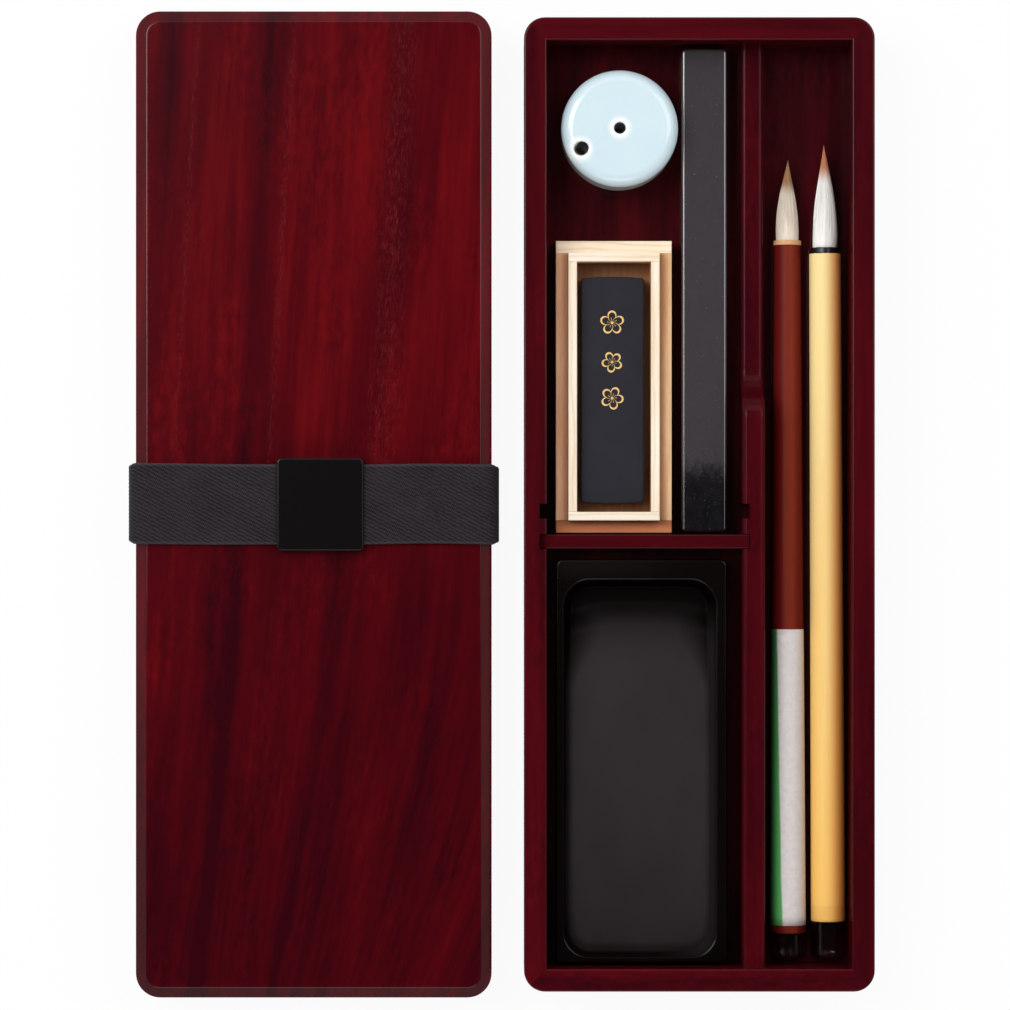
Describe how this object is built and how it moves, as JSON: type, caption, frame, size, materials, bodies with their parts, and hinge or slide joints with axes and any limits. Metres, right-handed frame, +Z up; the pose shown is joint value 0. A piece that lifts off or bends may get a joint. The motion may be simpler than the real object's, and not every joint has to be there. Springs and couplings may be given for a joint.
{
  "type": "calligraphy set box",
  "caption": "Long lacquered wooden calligraphy box with a banded lid beside an open tray of inkstone, ink stick, dropper, paperweight and capped brushes.",
  "frame": {"origin": "middle of the tray's underside", "axes": "+X towards the brush side of the tray, with the lid lying on the -X side; +Y towards the back end, where the brush tips point; +Z up"},
  "size_m": [0.2303, 0.305, 0.027],
  "materials": {
    "lacquered_wood": "deep red lacquer over lengthwise wood grain",
    "paulownia": "bare pale paulownia wood",
    "ink": "pressed soot ink, matt",
    "inkstone_slate": "fine dark slate, honed well and waxed rim",
    "black_steel": "glossy black baked enamel on steel",
    "celadon": "pale blue-white celadon glaze",
    "brown_lacquer": "red-brown lacquered wood",
    "bamboo": "polished bamboo",
    "hair": "cream hair with a tan tip",
    "tan_ferrule": "turned pale wood",
    "black_ferrule": "glossy black",
    "label_paper": "pale paper with a green strip",
    "clear_plastic": "clear moulded plastic",
    "elastic_webbing": "charcoal twill elastic",
    "black_clasp": "glossy black moulding with eased edges"
  },
  "bodies": {
    "tray": {"tray_floor": "lacquered_wood", "tray_wall_left": "lacquered_wood", "tray_wall_right": "lacquered_wood", "tray_wall_back": "lacquered_wood", "tray_wall_front": "lacquered_wood", "long_divider": "lacquered_wood"},
    "lid": {"lid_panel": "lacquered_wood", "lid_board_left": "lacquered_wood", "lid_board_right": "lacquered_wood", "lid_board_back": "lacquered_wood", "lid_board_front": "lacquered_wood", "lid_lip_left": "lacquered_wood", "lid_lip_right": "lacquered_wood", "lid_lip_back": "lacquered_wood", "lid_lip_front": "lacquered_wood"},
    "band": {"elastic_band": "elastic_webbing", "clasp_cover": "black_clasp", "clasp_base": "black_clasp"},
    "cross_divider": {"cross_divider": "lacquered_wood"},
    "inkstone": {"inkstone": "inkstone_slate"},
    "water_dropper": {"water_dropper": "celadon"},
    "paperweight": {"paperweight": "black_steel"},
    "ink_box": {"ink_box_base": "paulownia", "ink_box_board_left": "paulownia", "ink_box_board_right": "paulownia", "ink_box_board_back": "paulownia", "ink_box_board_front": "paulownia", "ink_box_lip_left": "paulownia", "ink_box_lip_right": "paulownia", "ink_box_lip_back": "paulownia", "ink_box_lip_front": "paulownia"},
    "ink_stick": {"ink_stick": "ink"},
    "brown_cap": {"brown_brush_cap": "clear_plastic"},
    "brown_brush": {"brown_brush_handle": "brown_lacquer", "brown_brush_ferrule": "tan_ferrule", "brown_brush_tuft": "hair", "brown_brush_label": "label_paper"},
    "bamboo_cap": {"bamboo_brush_cap": "clear_plastic"},
    "bamboo_brush": {"bamboo_brush_handle": "bamboo", "bamboo_brush_ferrule": "black_ferrule", "bamboo_brush_tuft": "hair"}
  },
  "joints": [
    {"name": "lid_lift", "type": "slide", "parent": "tray", "child": "lid", "axis": [0, 0, 1], "range_m": [0, 0.06]},
    {"name": "band_slide", "type": "slide", "parent": "lid", "child": "band", "axis": [0, 1, 0], "range_m": [-0.166, 0.166]},
    {"name": "cross_divider_lift", "type": "slide", "parent": "tray", "child": "cross_divider", "axis": [0, 0, 1], "range_m": [0, 0.03]},
    {"name": "inkstone_lift", "type": "slide", "parent": "tray", "child": "inkstone", "axis": [0, 0, 1], "range_m": [0, 0.04]},
    {"name": "water_dropper_lift", "type": "slide", "parent": "tray", "child": "water_dropper", "axis": [0, 0, 1], "range_m": [0, 0.04]},
    {"name": "paperweight_lift", "type": "slide", "parent": "tray", "child": "paperweight", "axis": [0, 0, 1], "range_m": [0, 0.04]},
    {"name": "ink_box_lift", "type": "slide", "parent": "tray", "child": "ink_box", "axis": [0, 0, 1], "range_m": [0, 0.04]},
    {"name": "ink_stick_lift", "type": "slide", "parent": "ink_box", "child": "ink_stick", "axis": [0, 0, 1], "range_m": [0, 0.03]},
    {"name": "brown_cap_lift", "type": "slide", "parent": "tray", "child": "brown_cap", "axis": [0, 0, 1], "range_m": [0, 0.04]},
    {"name": "brown_brush_pull", "type": "slide", "parent": "brown_cap", "child": "brown_brush", "axis": [0, 1, -0.0084], "range_m": [0, 0.03]},
    {"name": "bamboo_cap_lift", "type": "slide", "parent": "tray", "child": "bamboo_cap", "axis": [0, 0, 1], "range_m": [0, 0.04]},
    {"name": "bamboo_brush_pull", "type": "slide", "parent": "bamboo_cap", "child": "bamboo_brush", "axis": [-0.0043, 1, -0.0034], "range_m": [0, 0.03]}
  ]
}
